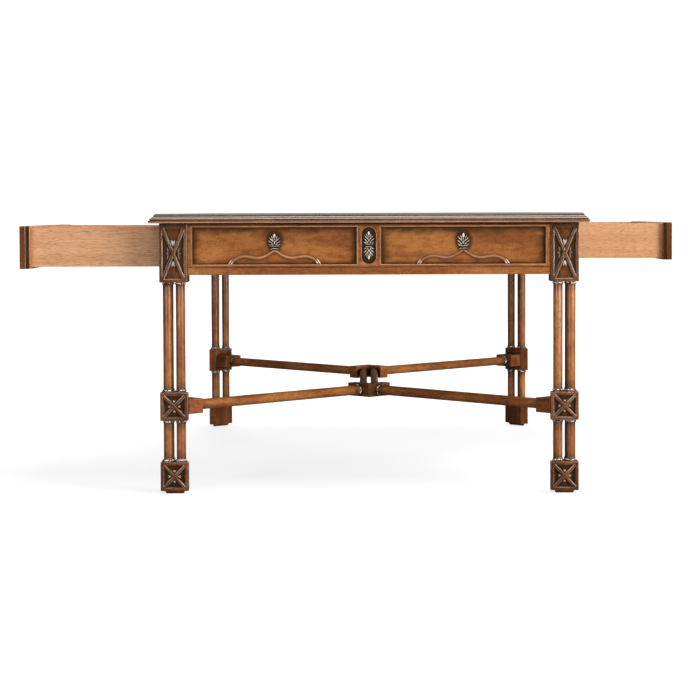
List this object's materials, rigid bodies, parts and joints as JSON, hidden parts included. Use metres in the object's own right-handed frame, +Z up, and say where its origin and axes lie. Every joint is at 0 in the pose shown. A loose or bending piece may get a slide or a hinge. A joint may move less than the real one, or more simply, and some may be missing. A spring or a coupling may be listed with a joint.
{
  "type": "coffee table",
  "caption": "Rectangular wooden coffee table with clustered column legs, carved fret blocks, a forked rod stretcher and panelled drawers that pull out on opposite long sides.",
  "frame": {"origin": "centre of the footprint, on the floor", "axes": "+Z up, X across the table along the way the drawers slide, Y along the length of the top"},
  "size_m": [1.2884, 1.221, 0.508],
  "materials": {
    "mahogany": "antiqued satin lacquer",
    "oak": "clear sealed"
  },
  "bodies": {
    "frame": {"capital_near_left": "mahogany", "mid_block_near_left": "mahogany", "foot_block_near_left": "mahogany", "column_near_left_corner": "mahogany", "column_near_left_end": "mahogany", "column_near_left_side": "mahogany", "rod_socket_near_left": "mahogany", "stretcher_rod_near_left": "mahogany", "capital_near_right": "mahogany", "mid_block_near_right": "mahogany", "foot_block_near_right": "mahogany", "column_near_right_corner": "mahogany", "column_near_right_end": "mahogany", "column_near_right_side": "mahogany", "rod_socket_near_right": "mahogany", "stretcher_rod_near_right": "mahogany", "capital_far_right": "mahogany", "mid_block_far_right": "mahogany", "foot_block_far_right": "mahogany", "column_far_right_corner": "mahogany", "column_far_right_end": "mahogany", "column_far_right_side": "mahogany", "rod_socket_far_right": "mahogany", "stretcher_rod_far_right": "mahogany", "capital_far_left": "mahogany", "mid_block_far_left": "mahogany", "foot_block_far_left": "mahogany", "column_far_left_corner": "mahogany", "column_far_left_end": "mahogany", "column_far_left_side": "mahogany", "rod_socket_far_left": "mahogany", "stretcher_rod_far_left": "mahogany", "stretcher_hub_near": "mahogany", "stretcher_hub_far": "mahogany", "stretcher_bar_left": "mahogany", "stretcher_bar_right": "mahogany", "table_top": "mahogany", "end_apron_near": "mahogany", "end_apron_far": "mahogany", "side_rail_left": "mahogany", "side_rail_right": "mahogany", "side_stile_left": "mahogany", "side_stile_right": "mahogany", "false_front_left_far": "mahogany", "false_front_right_near": "mahogany", "runner_near_end": "oak", "runner_far_end": "oak", "runner_centre": "oak"},
    "left_drawer": {"left_drawer_front": "mahogany", "left_drawer_pull": "mahogany", "left_drawer_back": "oak", "left_drawer_bottom": "oak", "left_drawer_near_side": "oak", "left_drawer_far_side": "oak"},
    "right_drawer": {"right_drawer_front": "mahogany", "right_drawer_pull": "mahogany", "right_drawer_back": "oak", "right_drawer_bottom": "oak", "right_drawer_near_side": "oak", "right_drawer_far_side": "oak"}
  },
  "joints": [
    {"name": "left_drawer_slide", "type": "slide", "parent": "frame", "child": "left_drawer", "axis": [-1, 0, 0], "range_m": [-0.2635, 0.1365]},
    {"name": "right_drawer_slide", "type": "slide", "parent": "frame", "child": "right_drawer", "axis": [1, 0, 0], "range_m": [-0.2635, 0.1365]}
  ]
}
